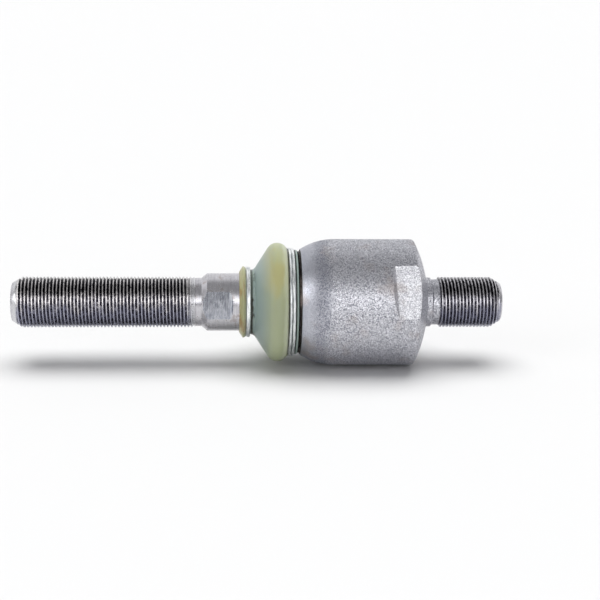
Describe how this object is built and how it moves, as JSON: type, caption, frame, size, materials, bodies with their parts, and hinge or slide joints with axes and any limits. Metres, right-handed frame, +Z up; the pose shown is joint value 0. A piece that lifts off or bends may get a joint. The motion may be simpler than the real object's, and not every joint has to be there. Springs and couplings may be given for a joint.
{
  "type": "inner tie rod",
  "caption": "Axial ball joint for steering: a threaded rod swings and spins in a round housing with a threaded stud, under a rubber boot held by wire rings.",
  "frame": {"origin": "on the axis at the root of the stud's thread, where the relief groove ends", "axes": "+X along the axis, out through the threaded stud; the rod runs along -X; +Z up; -Y is the side that the picture shows"},
  "size_m": [0.212, 0.055, 0.055],
  "materials": {
    "housing_steel": "shot blasted, pale grey and finely grained, bright turned shoulder at the stud",
    "rod_steel": "turned, with milled spanner flats and a rolled thread",
    "seat_plastic": "moulded, natural white",
    "spring_steel": "blued sheet",
    "boot_rubber": "olive green, slightly translucent, satin",
    "ring_wire": "bright zinc-plated spring wire"
  },
  "bodies": {
    "housing": {"housing": "housing_steel", "front_seat": "seat_plastic", "rear_seat": "seat_plastic", "pressure_disc": "spring_steel", "disc_spring": "spring_steel", "large_clamp_ring": "ring_wire"},
    "boot": {"dust_boot": "boot_rubber"},
    "boot_neck": {"small_clamp_ring": "ring_wire"},
    "rod": {"ball_stud": "rod_steel"}
  },
  "joints": [
    {"name": "swing_sideways", "type": "hinge", "parent": "housing", "child": "boot", "pos_m": [-0.046, 0, 0], "axis": [0, 0, 1], "range_deg": [-18, 18], "deforming": ["dust_boot"]},
    {"name": "swing_up_down", "type": "hinge", "parent": "boot", "child": "boot_neck", "pos_m": [-0.046, 0, 0], "axis": [0, 1, 0], "range_deg": [-18, 18], "deforming": ["dust_boot"]},
    {"name": "spin", "type": "hinge", "parent": "boot_neck", "child": "rod", "pos_m": [-0.046, 0, 0], "axis": [1, 0, 0], "continuous": true}
  ]
}
